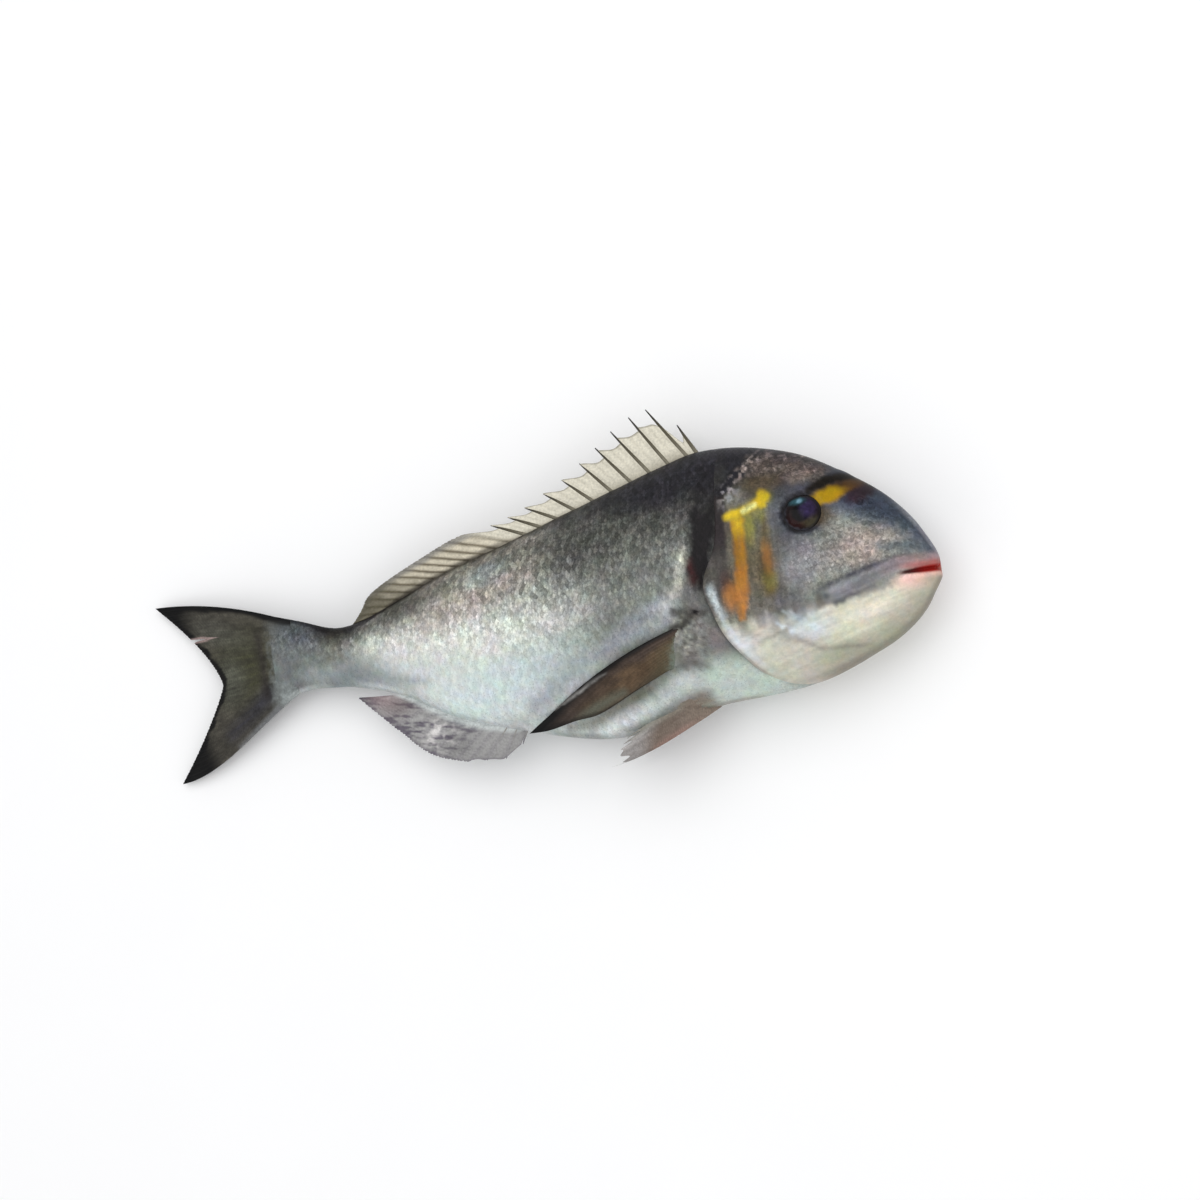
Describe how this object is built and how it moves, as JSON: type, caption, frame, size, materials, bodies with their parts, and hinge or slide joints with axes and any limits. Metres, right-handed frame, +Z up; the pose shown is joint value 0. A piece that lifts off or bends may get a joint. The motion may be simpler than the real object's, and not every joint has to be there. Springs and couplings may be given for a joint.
{
  "type": "whole raw fish",
  "caption": "Whole raw sea bream lying on its left side, with head, eyes, gill covers, spiny back fin, tail fin and paired fins in one piece.",
  "frame": {"origin": "middle of the fish's outline seen from above, on the surface it lies on", "axes": "+X towards the head, +Y towards the back fin, +Z up through the right flank"},
  "size_m": [0.33, 0.1358, 0.0453],
  "materials": {
    "skin": "wet, silvery, finely scaled"
  },
  "bodies": {
    "root": {"fish": "skin"}
  },
  "joints": []
}
